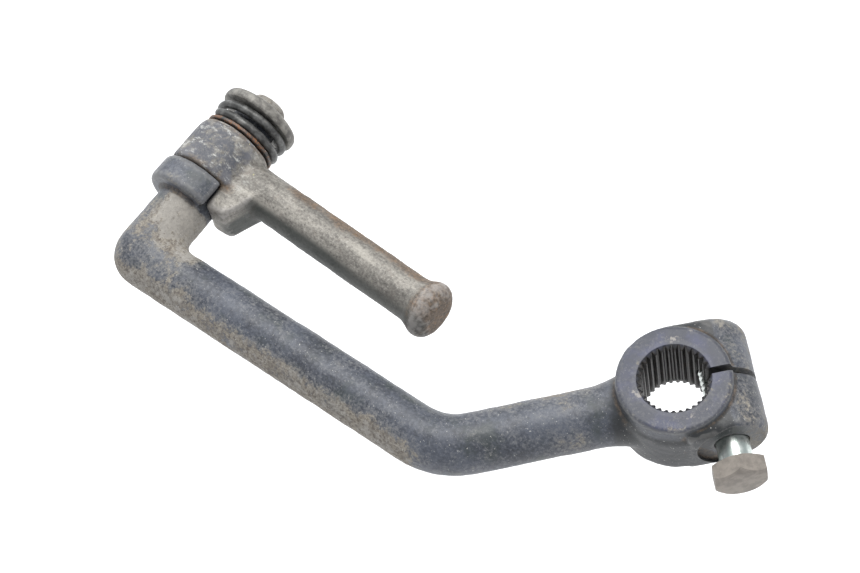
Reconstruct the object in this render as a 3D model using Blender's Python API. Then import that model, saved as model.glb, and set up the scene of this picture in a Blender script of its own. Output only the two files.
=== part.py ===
"""Kick lever with a folding foot pedal, in metres, +Z up.

The origin is on the axis of the serrated clamp bore, in the plane of the boss's outer end.
+X runs from the elbow towards the boss along the long straight of the forged arm, and +Y along
the pedal's pivot. The pedal is drawn folded, beside the arm, and turns about +Y to point down.
"""

import math

import bmesh
import bpy
from mathutils import Matrix, Vector

MM = 0.001
CLEARANCE = 0.3 * MM  # between pieces that bear on each other
OVERLAP = 1.0 * MM  # how far a shape runs into the one that it is joined to
ROUND_STEPS = 40  # points round a full circle

# Clamp boss, on the Z axis.
BOSS_RADIUS = 13.5 * MM
BOSS_HEIGHT = 19.5 * MM
BOSS_EDGE = 0.5 * MM
SERRATION_TEETH = 32
SERRATION_ROOT_RADIUS = 8.45 * MM
SERRATION_TIP_RADIUS = 7.6 * MM
SERRATION_LAND = 0.22  # share of a tooth's pitch that is flat, at its tip and at its root
BORE_CHAMFER = 0.25 * MM
SLOT_WIDTH = 1.6 * MM

# Clamp ears and bolt. The ears point away from the arm, and the bolt crosses the slot.
EAR_HALF_LENGTH = 14.8 * MM
EAR_STEP = 1.5 * MM  # from the boss down to the ears' top
EAR_EDGE = 1.8 * MM
BOLT_RADIUS = 3.9 * MM
BOLT_LENGTH = 26.0 * MM
BOLT_BITE = 2.25 * MM  # how far the bolt reaches into the bore, to lock in the shaft's groove
BOLT_BACKED_OUT = 5.5 * MM  # from the seat to the underside of the head
BOLT_END_CHAMFER = 0.8 * MM
HEAD_ACROSS_FLATS = 12.0 * MM
HEAD_THICKNESS = 5.0 * MM
HEAD_CHAMFER = 1.2 * MM
SEAT_DEPTH = 1.0 * MM
SEAT_MARGIN = 1.4 * MM

# Forged bar.
BAR_RADIUS = 7.2 * MM
ROOT_FILLET = 21.0 * MM
ROOT_STEP = 2.5 * MM  # from the boss down to the bar's top, where they meet
SHANK_LENGTH = 55.7 * MM  # from the bore axis to the bend
SHANK_ANGLE = math.radians(46.9)  # from the long straight
BEND_RADIUS = 17.0 * MM
STRAIGHT_LENGTH = 91.8 * MM  # from the bend to the pivot axis
ELBOW_INNER_RADIUS = 3.6 * MM
ELBOW_OUTER_RADIUS = 8.2 * MM

# Pivot, at the end of the bar. Lengths are from the axis of the long straight.
NECK_LENGTH = 24.2 * MM
COLLAR_LENGTH = 7.4 * MM
COLLAR_RADIUS = 11.2 * MM
COLLAR_START = math.radians(44.5)  # from +X, over the top of the pivot
COLLAR_SWEEP = math.radians(177.5)
COLLAR_EDGE = 0.9 * MM
JOURNAL_RADIUS = 6.0 * MM
TENON_RADIUS = 3.5 * MM
TENON_FLAT = 2.6 * MM
PEENED_RADIUS = 4.6 * MM
PEENED_HEIGHT = 3.2 * MM

# Pedal.
HUB_RADIUS = 10.5 * MM
HUB_LENGTH = 13.2 * MM
HUB_CHAMFER = 1.3 * MM
TREAD_RADIUS = 5.8 * MM
TREAD_LENGTH = 68.4 * MM  # from the pivot axis to the widest part of the tip
TREAD_TILT = math.radians(2.8)  # towards the long straight
TREAD_OFFSET = 6.4 * MM  # from the hub's lower end to the tread's axis, at the pivot
TIP_RADIUS = 7.25 * MM
TIP_FLARE = 4.4 * MM
TIP_DOME = 2.6 * MM
LUG_REACH = 6.6 * MM  # below the hub's lower end, past the collar
LUG_OUT_AT_FOOT = 12.4 * MM
LUG_OUT_AT_TREAD = 16.9 * MM
LUG_IN = 6.5 * MM
LUG_TOP = 5.9 * MM
LUG_BOTTOM = 6.8 * MM
LUG_EDGE = 1.3 * MM

# Stack on the journal.
WASHER_RADIUS = 10.0 * MM
WASHER_THICKNESS = 0.7 * MM
SPRING_RADIUS = 10.1 * MM
SPRING_WIRE_WIDTH = 2.3 * MM
SPRING_WIRE_THICKNESS = 2.2 * MM
SPRING_TURNS = 1.55
SPRING_RISE = 3.6 * MM  # of the wire's middle, from end to end
SPRING_START = math.radians(223.0)
CAP_RADIUS = 10.5 * MM
CAP_THICKNESS = 3.0 * MM
CAP_EDGE = 1.0 * MM

# What follows from the sizes above.
MID_HEIGHT = BAR_RADIUS  # the bar lies level with the boss's outer end
EAR_RADIUS = (BOSS_HEIGHT - EAR_STEP) / 2
ROOT_HEIGHT = BOSS_HEIGHT - ROOT_STEP
SHANK_DIRECTION = Vector((math.cos(SHANK_ANGLE), math.sin(SHANK_ANGLE), 0))
BEND = -SHANK_LENGTH * SHANK_DIRECTION
PIVOT_X = BEND.x - STRAIGHT_LENGTH
STRAIGHT_Y = BEND.y
NECK_TOP = STRAIGHT_Y + NECK_LENGTH
PIVOT = Vector((PIVOT_X, 0, MID_HEIGHT))
HUB_FOOT = NECK_TOP + CLEARANCE
HUB_TOP = HUB_FOOT + HUB_LENGTH
WASHER_FOOT = HUB_TOP + CLEARANCE
SPRING_FOOT = WASHER_FOOT + WASHER_THICKNESS + CLEARANCE
SPRING_TOP = SPRING_FOOT + SPRING_WIRE_THICKNESS + SPRING_RISE
SHOULDER = SPRING_TOP
CAP_FOOT = SHOULDER + CLEARANCE
CAP_TOP = CAP_FOOT + CAP_THICKNESS
BOLT_OUT = SERRATION_ROOT_RADIUS - BOLT_BITE + BOLT_RADIUS
BOLT_HOLE_RADIUS = BOLT_RADIUS + CLEARANCE
HEAD_CORNER_RADIUS = HEAD_ACROSS_FLATS / 2 / math.cos(math.radians(30))
SEAT = EAR_HALF_LENGTH - SEAT_DEPTH
HEAD_FOOT = SEAT + BOLT_BACKED_OUT

# Frames whose local +Z is the axis that a turned shape is made on.
ALONG_Y = Matrix.Rotation(math.radians(-90), 4, "X")
ALONG_PIVOT = Matrix.Translation(PIVOT) @ ALONG_Y
BOLT_AXIS = Vector((SHANK_DIRECTION.y, -SHANK_DIRECTION.x, 0))
BOLT_FRAME = Matrix.Translation(SHANK_DIRECTION * BOLT_OUT + Vector((0, 0, EAR_RADIUS))) @ Matrix(
    (
        (SHANK_DIRECTION.x, 0, BOLT_AXIS.x, 0),
        (SHANK_DIRECTION.y, 0, BOLT_AXIS.y, 0),
        (0, 1, 0, 0),
        (0, 0, 0, 1),
    )
)


def clear_scene():
    for obj in list(bpy.data.objects):
        bpy.data.objects.remove(obj)


def material(name, colour, roughness, metallic):
    made = bpy.data.materials.new(name)
    made.use_nodes = True
    shader = made.node_tree.nodes["Principled BSDF"]
    shader.inputs["Base Color"].default_value = (*colour, 1)
    shader.inputs["Roughness"].default_value = roughness
    shader.inputs["Metallic"].default_value = metallic
    return made


def place(name, bm, frame=Matrix.Identity(4), finish=None, parent=None):
    """Makes bm, modelled in the frame's own axes, an object at that frame."""
    bmesh.ops.recalc_face_normals(bm, faces=bm.faces)
    mesh = bpy.data.meshes.new(name)
    bm.to_mesh(mesh)
    bm.free()
    mesh.shade_smooth()
    mesh.set_sharp_from_angle(angle=math.radians(30))
    if finish:
        mesh.materials.append(finish)
    obj = bpy.data.objects.new(name, mesh)
    bpy.context.scene.collection.objects.link(obj)
    obj.parent = parent
    obj.matrix_world = frame
    return obj


def loft(rings, closed=False):
    """A closed skin over rings of equally many points, capped at both ends unless it closes on itself."""
    bm = bmesh.new()
    loops = [[bm.verts.new(point) for point in ring] for ring in rings]
    pairs = list(zip(loops, loops[1:]))
    if closed:
        pairs.append((loops[-1], loops[0]))
    for low, high in pairs:
        for i in range(len(low)):
            j = (i + 1) % len(low)
            bm.faces.new((low[i], low[j], high[j], high[i]))
    if not closed:
        bm.faces.new(loops[0])
        bm.faces.new(loops[-1])
    return bm


def circle(radius, height, flat=None):
    """Points round a circle, cut straight at x = +-flat where a flat is given."""
    points = []
    for i in range(ROUND_STEPS):
        angle = 2 * math.pi * i / ROUND_STEPS
        x = radius * math.cos(angle)
        if flat:
            x = max(-flat, min(flat, x))
        points.append(Vector((x, radius * math.sin(angle), height)))
    return points


def turned(profile, closed=False):
    """A solid of revolution about local Z from (radius, height) pairs; closed for a ring with a hole."""
    return loft([circle(radius, height) for radius, height in profile], closed)


def prism(outline, low, high):
    """An outline in local X and Y, extruded along local Z."""
    return loft([[Vector((x, y, z)) for x, y in outline] for z in (low, high)])


def arc(centre, radius, start, end, steps):
    """Points (x, y) along an arc, ends included."""
    angles = [start + (end - start) * i / steps for i in range(steps + 1)]
    return [(centre[0] + radius * math.cos(a), centre[1] + radius * math.sin(a)) for a in angles]


def bevelled(bm, width, segments=2, picks=lambda edge: True):
    """Rounds the sharp edges of bm that picks accepts."""
    bmesh.ops.recalc_face_normals(bm, faces=bm.faces)
    sharp = [e for e in bm.edges if e.calc_face_angle(0) > math.radians(35) and picks(e)]
    bmesh.ops.bevel(bm, geom=sharp, offset=width, segments=segments, profile=0.5, affect="EDGES")
    return bm


def combine(obj, operation, name, bm, frame=Matrix.Identity(4)):
    """Adds bm to obj, or cuts it from obj, with a Boolean on a hidden helper."""
    helper = place(name, bm, frame)
    helper.hide_render = True
    helper.display_type = "WIRE"
    step = obj.modifiers.new(name, "BOOLEAN")
    step.operation = operation
    step.object = helper


def elbow_reach(angle):
    """Distance from the elbow's inner centre to its outer skin, a square corner with a round nose."""
    side = ELBOW_INNER_RADIUS + 2 * BAR_RADIUS
    nose = side - ELBOW_OUTER_RADIUS
    to_flat = side / max(math.cos(angle), math.sin(angle))
    along = nose * (math.cos(angle) + math.sin(angle))
    to_nose = along + math.sqrt(max(0, along**2 - 2 * nose**2 + ELBOW_OUTER_RADIUS**2))
    on_nose = min(math.cos(angle), math.sin(angle)) * to_flat > nose
    return to_nose if on_nose else to_flat


def bar_ring(centre, across, half_width, half_height=BAR_RADIUS):
    """An upright elliptical section of the bar, whose underside is level with the bar's."""
    points = []
    lift = Vector((0, 0, half_height - BAR_RADIUS))
    for i in range(ROUND_STEPS):
        angle = 2 * math.pi * i / ROUND_STEPS
        level = across * (half_width * math.cos(angle)) + Vector((0, 0, half_height * math.sin(angle)))
        points.append(centre + lift + level)
    return points


def forged_bar():
    """The bar from inside the boss, round the bend and the elbow, to the top of the neck."""
    rings = []
    lift = Vector((0, 0, MID_HEIGHT))
    side = Vector((-SHANK_DIRECTION.y, SHANK_DIRECTION.x, 0))

    # The root widens on a fillet that touches both the boss and the bar.
    reach = BOSS_RADIUS + ROOT_FILLET
    fillet_out = math.sqrt(reach**2 - (BAR_RADIUS + ROOT_FILLET) ** 2)
    root = BOSS_RADIUS * fillet_out / reach
    root_steps = 7
    for i in range(root_steps + 1):
        out = root + (fillet_out - root) * i / root_steps
        width = BAR_RADIUS + ROOT_FILLET - math.sqrt(ROOT_FILLET**2 - (fillet_out - out) ** 2)
        height = BAR_RADIUS + (ROOT_HEIGHT / 2 - BAR_RADIUS) * (1 - i / root_steps) ** 2
        rings.append(bar_ring(lift - out * SHANK_DIRECTION, side, width, height))

    # The bend, from the shank's direction to the long straight's.
    bend_steps = 6
    tangent = BEND_RADIUS * math.tan(SHANK_ANGLE / 2)
    bend_centre = BEND + tangent * SHANK_DIRECTION + BEND_RADIUS * side
    for i in range(bend_steps + 1):
        heading = SHANK_ANGLE * (1 - i / bend_steps)
        across = Vector((-math.sin(heading), math.cos(heading), 0))
        rings.append(bar_ring(lift + bend_centre - BEND_RADIUS * across, across, BAR_RADIUS))

    # The elbow, about its inner centre.
    elbow_steps = 8
    inset = BAR_RADIUS + ELBOW_INNER_RADIUS
    inner_centre = Vector((PIVOT_X + inset, STRAIGHT_Y + inset, MID_HEIGHT))
    for i in range(elbow_steps + 1):
        turn = math.radians(90) * i / elbow_steps
        outward = Vector((-math.sin(turn), -math.cos(turn), 0))
        outer = elbow_reach(turn)
        middle = inner_centre + outward * (outer + ELBOW_INNER_RADIUS) / 2
        rings.append(bar_ring(middle, -outward, (outer - ELBOW_INNER_RADIUS) / 2))

    neck_end = Vector((PIVOT_X, NECK_TOP, MID_HEIGHT))
    rings.append(bar_ring(neck_end, Vector((1, 0, 0)), BAR_RADIUS))
    return loft(rings)


def boss():
    profile = [
        (BOSS_RADIUS - BOSS_EDGE, 0),
        (BOSS_RADIUS, BOSS_EDGE),
        (BOSS_RADIUS, BOSS_HEIGHT - BOSS_EDGE),
        (BOSS_RADIUS - BOSS_EDGE, BOSS_HEIGHT),
    ]
    return turned(profile)


def ears():
    """A D-shaped block along the bolt, whose round side is centred on it."""
    nose = arc((0, 0), EAR_RADIUS, math.radians(-90), math.radians(90), 10)
    outline = nose + [(-BOLT_OUT, EAR_RADIUS), (-BOLT_OUT, -EAR_RADIUS)]
    bm = prism(outline, -EAR_HALF_LENGTH, EAR_HALF_LENGTH)
    ends = lambda edge: abs(edge.verts[0].co.z - edge.verts[1].co.z) < 1e-6
    return bevelled(bm, EAR_EDGE, 2, ends)


def serration():
    """The toothed hole: straight flanks between flat tips and roots."""
    outline = []
    pitch = 2 * math.pi / SERRATION_TEETH
    for tooth in range(SERRATION_TEETH):
        middle = tooth * pitch
        for radius, offset in ((SERRATION_TIP_RADIUS, 0), (SERRATION_ROOT_RADIUS, 0.5)):
            for side in (-0.5, 0.5):
                angle = middle + (offset + side * SERRATION_LAND) * pitch
                outline.append((radius * math.cos(angle), radius * math.sin(angle)))
    return prism(outline, -OVERLAP, BOSS_HEIGHT + OVERLAP)


def bore_chamfer():
    wide = SERRATION_ROOT_RADIUS + BORE_CHAMFER + OVERLAP
    return turned([(wide - 2 * OVERLAP - BORE_CHAMFER, -OVERLAP), (wide, OVERLAP + BORE_CHAMFER)])


def slot():
    half = SLOT_WIDTH / 2
    out = EAR_RADIUS + OVERLAP
    outline = [(-BOLT_OUT, -half), (out, -half), (out, half), (-BOLT_OUT, half)]
    height = BOSS_HEIGHT + OVERLAP
    return prism([(x, y) for x, y in outline], -height, height)


def bolt_hole():
    reach = EAR_HALF_LENGTH + OVERLAP
    return turned([(BOLT_HOLE_RADIUS, -reach), (BOLT_HOLE_RADIUS, reach)])


def bolt_seat():
    radius = HEAD_CORNER_RADIUS + SEAT_MARGIN
    return turned([(radius, SEAT), (radius, EAR_HALF_LENGTH + 4 * OVERLAP)])


def collar():
    """The stop: a half ring round the top of the neck, whose ends meet the pedal's lug."""
    steps = 18
    end = COLLAR_START + COLLAR_SWEEP
    # Local Y is down when local Z is +Y, so angles over the top are negative.
    outer = arc((0, 0), COLLAR_RADIUS, -COLLAR_START, -end, steps)
    inner = arc((0, 0), JOURNAL_RADIUS - OVERLAP, -end, -COLLAR_START, steps)
    bm = prism(outer + inner, NECK_TOP - COLLAR_LENGTH, NECK_TOP)
    outside = lambda edge: all(v.co.xy.length > BAR_RADIUS + OVERLAP for v in edge.verts)
    return bevelled(bm, COLLAR_EDGE, 2, outside)


def journal():
    """The pin that the pedal turns on, with its flatted tenon and peened end."""
    chamfer = 0.4 * MM
    head_foot = CAP_TOP + CLEARANCE
    rings = [
        circle(JOURNAL_RADIUS, NECK_TOP - COLLAR_LENGTH),
        circle(JOURNAL_RADIUS, SHOULDER - chamfer),
        circle(JOURNAL_RADIUS - chamfer, SHOULDER),
        circle(TENON_RADIUS, SHOULDER, TENON_FLAT),
        circle(TENON_RADIUS, head_foot, TENON_FLAT),
        circle(PEENED_RADIUS - chamfer, head_foot),
        circle(PEENED_RADIUS, head_foot + chamfer),
        circle(PEENED_RADIUS, head_foot + PEENED_HEIGHT - 2 * chamfer),
        circle(PEENED_RADIUS - 2 * chamfer, head_foot + PEENED_HEIGHT),
    ]
    return loft(rings)


def lever_arm(finish):
    arm = place("lever_arm", forged_bar(), finish=finish)
    combine(arm, "UNION", "boss_shape", boss())
    combine(arm, "UNION", "ear_shape", ears(), BOLT_FRAME)
    combine(arm, "UNION", "collar_shape", collar(), ALONG_PIVOT)
    combine(arm, "UNION", "journal_shape", journal(), ALONG_PIVOT)
    combine(arm, "DIFFERENCE", "serration_cut", serration())
    turn_over = Matrix.Rotation(math.pi, 4, "X")
    combine(arm, "DIFFERENCE", "bore_chamfer_top", bore_chamfer(), Matrix.Translation((0, 0, BOSS_HEIGHT - OVERLAP)))
    combine(arm, "DIFFERENCE", "bore_chamfer_foot", bore_chamfer(), Matrix.Translation((0, 0, OVERLAP)) @ turn_over)
    slot_frame = Matrix.Translation(SHANK_DIRECTION * BOLT_OUT) @ Matrix.Rotation(SHANK_ANGLE, 4, "Z")
    combine(arm, "DIFFERENCE", "slot_cut", slot(), slot_frame)
    combine(arm, "DIFFERENCE", "bolt_hole_cut", bolt_hole(), BOLT_FRAME)
    combine(arm, "DIFFERENCE", "bolt_seat_cut", bolt_seat(), BOLT_FRAME)
    return arm


def clamp_bolt(finish):
    """Hexagon head and plain-modelled threaded shank, along the bolt's own +Z."""
    corner = HEAD_CORNER_RADIUS
    hexagon = [Vector((corner * math.cos(a), corner * math.sin(a))) for a in (math.pi / 6 + i * math.pi / 3 for i in range(6))]
    # Each flat is split, so that the crown's cone can bite the corners and leave the flats.
    outline = []
    for i in range(6):
        outline += [hexagon[i], (hexagon[i] + hexagon[(i + 1) % 6]) / 2]
    foot, top = HEAD_FOOT, HEAD_FOOT + HEAD_THICKNESS
    flat = HEAD_ACROSS_FLATS / 2

    def head_ring(height, reach):
        return [Vector((*(p * min(1, reach / p.length)), height)) for p in outline]

    tip = HEAD_FOOT - BOLT_LENGTH
    rings = [head_ring(foot, corner), head_ring(top - HEAD_CHAMFER, corner), head_ring(top, flat - 0.3 * MM)]
    bolt = place("clamp_bolt", loft(rings), BOLT_FRAME, finish)
    shank = turned(
        [
            (BOLT_RADIUS - BOLT_END_CHAMFER, tip),
            (BOLT_RADIUS, tip + BOLT_END_CHAMFER),
            (BOLT_RADIUS, foot + OVERLAP),
        ]
    )
    combine(bolt, "UNION", "shank_shape", shank, BOLT_FRAME)
    return bolt


def hub():
    bore = JOURNAL_RADIUS + CLEARANCE
    profile = [
        (bore, HUB_FOOT),
        (HUB_RADIUS - HUB_CHAMFER / 2, HUB_FOOT),
        (HUB_RADIUS, HUB_FOOT + HUB_CHAMFER / 2),
        (HUB_RADIUS, HUB_TOP - 1.6 * HUB_CHAMFER),
        (HUB_RADIUS - HUB_CHAMFER / 2, HUB_TOP - HUB_CHAMFER / 2),
        (HUB_RADIUS - HUB_CHAMFER, HUB_TOP),
        (bore, HUB_TOP),
    ]
    return turned(profile, closed=True)


def tread():
    """The bar for the foot, with a flared and domed tip, along its own +Z from the pivot axis."""
    start = JOURNAL_RADIUS + 2 * OVERLAP
    flare_start = TREAD_LENGTH - TIP_FLARE
    profile = [(TREAD_RADIUS, start), (TREAD_RADIUS, flare_start)]
    steps = 4
    for i in range(1, steps + 1):
        share = i / steps
        eased = share * share * (3 - 2 * share)
        profile.append((TREAD_RADIUS + (TIP_RADIUS - TREAD_RADIUS) * eased, flare_start + TIP_FLARE * share))
    for i in range(1, steps + 1):
        turn = math.radians(90) * i / steps
        rim = TIP_RADIUS - TIP_DOME * 1.4 * (1 - math.cos(turn))
        profile.append((rim, TREAD_LENGTH + TIP_DOME * math.sin(turn)))
    return turned(profile)


def lug():
    """The stop lug: a block from the tread's root to beside the collar, hollowed round the neck."""
    foot = HUB_FOOT - LUG_REACH
    shoulder = HUB_FOOT + TREAD_OFFSET - TREAD_RADIUS / 2
    side = [
        (LUG_IN, foot),
        (LUG_OUT_AT_FOOT, foot),
        (LUG_OUT_AT_TREAD, shoulder),
        (LUG_OUT_AT_TREAD, HUB_FOOT + TREAD_OFFSET),
        (LUG_IN, HUB_FOOT + TREAD_OFFSET),
    ]
    return bevelled(prism(side, -LUG_BOTTOM, LUG_TOP), LUG_EDGE)


def neck_room():
    """What the lug leaves free for the neck, ending in a shallow counterbore in the hub."""
    neck = BAR_RADIUS + CLEARANCE
    return turned([(neck, HUB_FOOT - LUG_REACH - OVERLAP), (neck, HUB_FOOT + CLEARANCE)])


def foot_pedal(finish, joint):
    pedal = place("foot_pedal", hub(), ALONG_PIVOT, finish, joint)
    tread_frame = Matrix.Translation(PIVOT + Vector((0, HUB_FOOT + TREAD_OFFSET, 0)))
    tread_turn = Matrix.Rotation(-TREAD_TILT, 4, "Z") @ Matrix.Rotation(math.radians(90), 4, "Y")
    combine(pedal, "UNION", "tread_shape", tread(), tread_frame @ tread_turn)
    combine(pedal, "UNION", "lug_shape", lug(), Matrix.Translation(PIVOT))
    combine(pedal, "DIFFERENCE", "neck_room_cut", neck_room(), ALONG_PIVOT)
    return pedal


def thrust_washer(finish):
    bore = JOURNAL_RADIUS + CLEARANCE
    top = WASHER_FOOT + WASHER_THICKNESS
    profile = [(bore, WASHER_FOOT), (WASHER_RADIUS, WASHER_FOOT), (WASHER_RADIUS, top), (bore, top)]
    return place("thrust_washer", turned(profile, closed=True), ALONG_PIVOT, finish)


def pedal_spring(finish):
    """A coil spring of about a turn and a half, whose ends lie flatter than its middle."""
    steps = round(SPRING_TURNS * 32)
    half_width, half_thick = SPRING_WIRE_WIDTH / 2, SPRING_WIRE_THICKNESS / 2
    corner = 0.55 * MM
    section = [
        (-half_width + corner, -half_thick),
        (half_width - corner, -half_thick),
        (half_width, -half_thick + corner),
        (half_width, half_thick - corner),
        (half_width - corner, half_thick),
        (-half_width + corner, half_thick),
        (-half_width, half_thick - corner),
        (-half_width, -half_thick + corner),
    ]
    rings = []
    for i in range(steps + 1):
        turn = SPRING_TURNS * i / steps
        angle = SPRING_START + 2 * math.pi * turn
        share = i / steps
        height = SPRING_FOOT + half_thick + SPRING_RISE * share * share * (3 - 2 * share)
        ring = []
        for out, up in section:
            radius = SPRING_RADIUS - half_width + out
            ring.append(Vector((radius * math.cos(angle), radius * math.sin(angle), height + up)))
        rings.append(ring)
    return place("pedal_spring", loft(rings), ALONG_PIVOT, finish)


def spring_cap(finish):
    """The disc that holds the stack, keyed to the tenon's flats."""
    hole = circle(TENON_RADIUS + CLEARANCE, 0, TENON_FLAT + CLEARANCE)

    def hole_ring(height):
        return [Vector((p.x, p.y, height)) for p in hole]

    rings = [
        hole_ring(CAP_FOOT),
        circle(CAP_RADIUS - CAP_EDGE, CAP_FOOT),
        circle(CAP_RADIUS, CAP_FOOT + CAP_EDGE),
        circle(CAP_RADIUS, CAP_TOP - CAP_EDGE),
        circle(CAP_RADIUS - CAP_EDGE, CAP_TOP),
        hole_ring(CAP_TOP),
    ]
    return place("spring_cap", loft(rings, closed=True), ALONG_PIVOT, finish)


def main():
    clear_scene()
    paint = material("worn_black_paint", (0.06, 0.065, 0.08), 0.45, 0.3)
    bare = material("oxidised_steel", (0.27, 0.25, 0.23), 0.55, 0.7)
    dark = material("dark_spring_steel", (0.08, 0.08, 0.085), 0.5, 0.6)
    zinc = material("zinc_plated_steel", (0.45, 0.42, 0.38), 0.4, 0.8)

    joint = bpy.data.objects.new("pedal_fold_axis", None)
    joint.location = PIVOT
    bpy.context.scene.collection.objects.link(joint)
    bpy.context.view_layer.update()

    lever_arm(paint)
    clamp_bolt(zinc)
    foot_pedal(bare, joint)
    thrust_washer(dark)
    pedal_spring(dark)
    spring_cap(bare)


main()
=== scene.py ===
import math

import bmesh
import bpy
import numpy as np
from mathutils import Matrix, Vector, noise


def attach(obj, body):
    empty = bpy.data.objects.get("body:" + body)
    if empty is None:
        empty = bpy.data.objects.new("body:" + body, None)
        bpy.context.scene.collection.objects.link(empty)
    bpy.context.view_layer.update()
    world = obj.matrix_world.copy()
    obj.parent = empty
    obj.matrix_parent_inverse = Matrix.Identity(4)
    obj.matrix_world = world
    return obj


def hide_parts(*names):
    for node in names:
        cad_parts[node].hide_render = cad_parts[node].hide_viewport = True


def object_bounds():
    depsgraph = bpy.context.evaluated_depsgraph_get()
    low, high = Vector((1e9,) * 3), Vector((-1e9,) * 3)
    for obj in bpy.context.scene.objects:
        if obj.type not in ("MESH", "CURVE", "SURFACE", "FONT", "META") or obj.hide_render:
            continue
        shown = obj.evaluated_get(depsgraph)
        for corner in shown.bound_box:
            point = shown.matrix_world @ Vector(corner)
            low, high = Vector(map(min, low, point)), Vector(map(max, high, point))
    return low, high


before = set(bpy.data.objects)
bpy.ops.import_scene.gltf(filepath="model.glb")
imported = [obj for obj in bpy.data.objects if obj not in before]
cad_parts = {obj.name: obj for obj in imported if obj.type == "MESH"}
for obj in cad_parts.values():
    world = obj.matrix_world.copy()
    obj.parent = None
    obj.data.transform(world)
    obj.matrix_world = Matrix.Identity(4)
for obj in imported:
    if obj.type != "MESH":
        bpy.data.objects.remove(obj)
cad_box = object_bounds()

# Sizes are in millimetres, in the frame of the CAD; meshes are made in metres.
MM = 0.001
CLEARANCE = 0.3

# The bar: a round bar whose middle lies LEVEL above the boss's outer face.
BAR = 7.2
LEVEL = 7.2
SHANK_ANGLE = math.radians(46.9)
ALONG = Vector((math.cos(SHANK_ANGLE), math.sin(SHANK_ANGLE), 0))
SIDEWAYS = Vector((ALONG.y, -ALONG.x, 0))
BEND = -55.7 * ALONG
BEND_RADIUS = 17.0
STRAIGHT_Y = BEND.y
ELBOW_INNER = 3.6
ELBOW_OUTER = 8.2
ROOT_FILLET = 21.0
ROOT_HEIGHT = 17.0

# The boss: a body, and on it a raised ring with the serrated bore.
BOSS_BODY = 14.0
BOSS_RING = 13.5
BOSS_STEP = 14.0
BOSS_TOP = 19.5
TOOTH_TIP = 7.6
TOOTH_ROOT = 8.45
TEETH = 32
SLOT_HALF = 0.8

# The ears and the clamp bolt, whose axis is BOLT_OUT from the bore's.
BOLT_RADIUS = 3.9
BOLT_OUT = TOOTH_ROOT - 2.25 + BOLT_RADIUS
SHANK_LENGTH = 26.4
HEAD_ACROSS = 12.0
EAR = 9.0
EAR_END = 14.8
BOLT_SEAT = EAR_END - 1.0
SEAT_RADIUS = 8.33
HEAD_FOOT = BOLT_SEAT + 5.5
HEAD_TOP = HEAD_FOOT + 5.0

# The pivot and what sits on it, as heights along its axis.
PIVOT_X = BEND.x - 91.8
JOURNAL = 6.0
COLLAR_RADIUS = 11.2
HUB_RADIUS = 10.5
NECK_TOP = STRAIGHT_Y + 24.2
HUB_FOOT = NECK_TOP + CLEARANCE
HUB_TOP = HUB_FOOT + 13.2
WASHER_FOOT = HUB_TOP + CLEARANCE
WASHER_RADIUS = 9.7
WIRE = 2.2
COIL_RADIUS = 8.95
COIL_TURNS = 1.55
COIL_START = math.radians(223)
SPRING_RISE = 3.6
SPRING_FOOT = WASHER_FOOT + 1.0
CAP_RADIUS = 10.5
CAP_THICKNESS = 3.0
CAP_FOOT = SPRING_FOOT + WIRE + SPRING_RISE + CLEARANCE
CAP_TOP = CAP_FOOT + CAP_THICKNESS

# The tread, which leans TILT from square to the pivot.
TILT = math.radians(2.8)
TREAD_LENGTH = 68.4
TREAD_RADIUS = 5.8
TREAD_FLARE = 1.45
TREAD_Y = HUB_FOOT + 6.4

FLOOR = -66.0  # clear of the pedal when it points straight down

PIVOT_PLACE = Matrix.Translation((PIVOT_X, 0, LEVEL))
PIVOT_FRAME = PIVOT_PLACE @ Matrix.Rotation(math.radians(-90), 4, "X")
BOLT_FRAME = Matrix(
    (
        (ALONG.x, 0, SIDEWAYS.x, ALONG.x * BOLT_OUT),
        (ALONG.y, 0, SIDEWAYS.y, ALONG.y * BOLT_OUT),
        (0, 1, 0, EAR),
        (0, 0, 0, 1),
    )
)


# ---------------------------------------------------------------- shader writing
class Sum:
    """A shader value that Python's arithmetic signs work on."""

    def __init__(self, board, socket):
        self.board, self.socket = board, socket

    def _math(self, operation, first, second=0.0):
        return self.board.add("ShaderNodeMath", {"operation": operation}, {0: first, 1: second})

    def __add__(self, other):
        return self._math("ADD", self, other)

    def __radd__(self, other):
        return self._math("ADD", other, self)

    def __sub__(self, other):
        return self._math("SUBTRACT", self, other)

    def __rsub__(self, other):
        return self._math("SUBTRACT", other, self)

    def __mul__(self, other):
        return self._math("MULTIPLY", self, other)

    def __rmul__(self, other):
        return self._math("MULTIPLY", other, self)


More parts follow.
